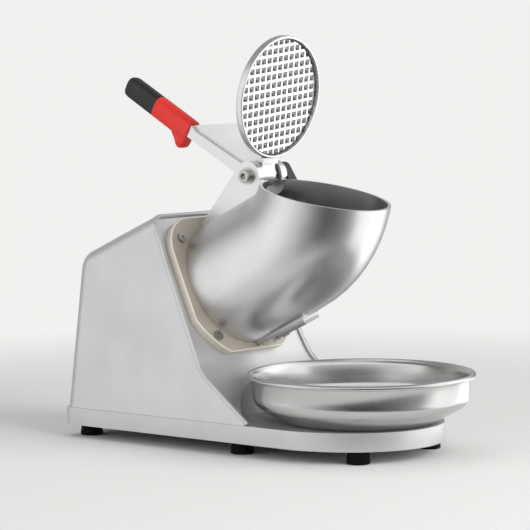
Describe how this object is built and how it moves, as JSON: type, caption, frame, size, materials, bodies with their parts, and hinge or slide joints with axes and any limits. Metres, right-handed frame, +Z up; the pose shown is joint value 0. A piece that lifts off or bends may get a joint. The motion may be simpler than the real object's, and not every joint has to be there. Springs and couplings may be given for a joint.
{
  "type": "ice shaver",
  "caption": "motor driven table ice shaver: sloped housing, slanted cast drum bending up to its mouth, hand lever with a waffle press disc, and a steel bowl on the base",
  "frame": {"origin": "bottom centre of the whole machine, on the table between the feet", "axes": "+X from the motor housing towards the bowl, +Y across the machine to the side of the switch cover, +Z up"},
  "size_m": [0.3994, 0.21, 0.3822],
  "materials": {
    "base_paint": "satin silver paint",
    "plate_steel": "plain sheet",
    "foot_rubber": "matt",
    "screw_steel": "plain",
    "flange_ivory": "satin ivory enamel",
    "cast_alu": "polished casting",
    "machined_alu": "machined",
    "bowl_steel": "satin stainless steel",
    "blade_steel": "ground",
    "black_plastic": "matt",
    "grip_red": "soft gloss",
    "grip_black": "soft sheen",
    "motor_paint": "dark paint",
    "lamination": "laminated iron",
    "seal_rubber": "matt",
    "nut_steel": "plated"
  },
  "bodies": {
    "stand": {"base_shell": "base_paint", "motor_housing": "base_paint", "bottom_plate": "plate_steel", "rubber_feet": "foot_rubber", "foot_screws": "screw_steel", "housing_screws": "screw_steel", "flange_screws": "screw_steel", "hopper_screws": "screw_steel", "blade_screws": "screw_steel", "holder_bolts": "nut_steel", "motor_bolts": "screw_steel", "switch_cover_screws": "screw_steel", "hinge_bolt": "nut_steel", "hinge_washer": "screw_steel", "hinge_nut": "nut_steel", "cable_gland": "black_plastic", "rocker_bezel": "black_plastic", "switch_cover": "black_plastic", "safety_switch": "black_plastic", "flange_plate": "flange_ivory", "hopper": "cast_alu", "blade": "blade_steel", "blade_holder": "machined_alu", "outlet_chute": "plate_steel", "motor_front_cap": "machined_alu", "motor_rear_cap": "machined_alu", "motor_can": "motor_paint", "motor_stator": "lamination", "front_bearing": "nut_steel", "rear_bearing": "nut_steel", "shaft_seal": "seal_rubber"},
    "press_lever": {"lever_casting": "cast_alu", "press_disc": "cast_alu", "disc_screws": "screw_steel", "grip_sleeve": "grip_red", "grip_end": "grip_black"},
    "rotor": {"motor_shaft": "screw_steel", "rotor_core": "lamination", "cooling_fan": "black_plastic", "impeller": "machined_alu", "impeller_nut": "nut_steel"},
    "bowl": {"bowl": "bowl_steel"},
    "plunger": {"switch_plunger": "machined_alu"},
    "rocker": {"power_rocker": "black_plastic"}
  },
  "joints": [
    {"name": "lever_hinge", "type": "hinge", "parent": "stand", "child": "press_lever", "pos_m": [-0.0203, 0, 0.25168], "axis": [0, 1, 0], "range_deg": [0, 120]},
    {"name": "rotor_spin", "type": "hinge", "parent": "stand", "child": "rotor", "pos_m": [-0.0562, 0, 0.1485], "axis": [0.8988, 0, 0.4384], "continuous": true},
    {"name": "bowl_slide", "type": "slide", "parent": "stand", "child": "bowl", "axis": [1, 0, 0], "range_m": [0, 0.2]},
    {"name": "plunger_slide", "type": "slide", "parent": "stand", "child": "plunger", "axis": [0, 1, 0], "range_m": [0, 0.002], "stiffness_N_per_m": 300, "springref_m": -0.002},
    {"name": "rocker_pivot", "type": "hinge", "parent": "stand", "child": "rocker", "pos_m": [-0.19034, 0.045, 0.0908], "axis": [0, -1, 0], "range_deg": [0, 18]}
  ]
}
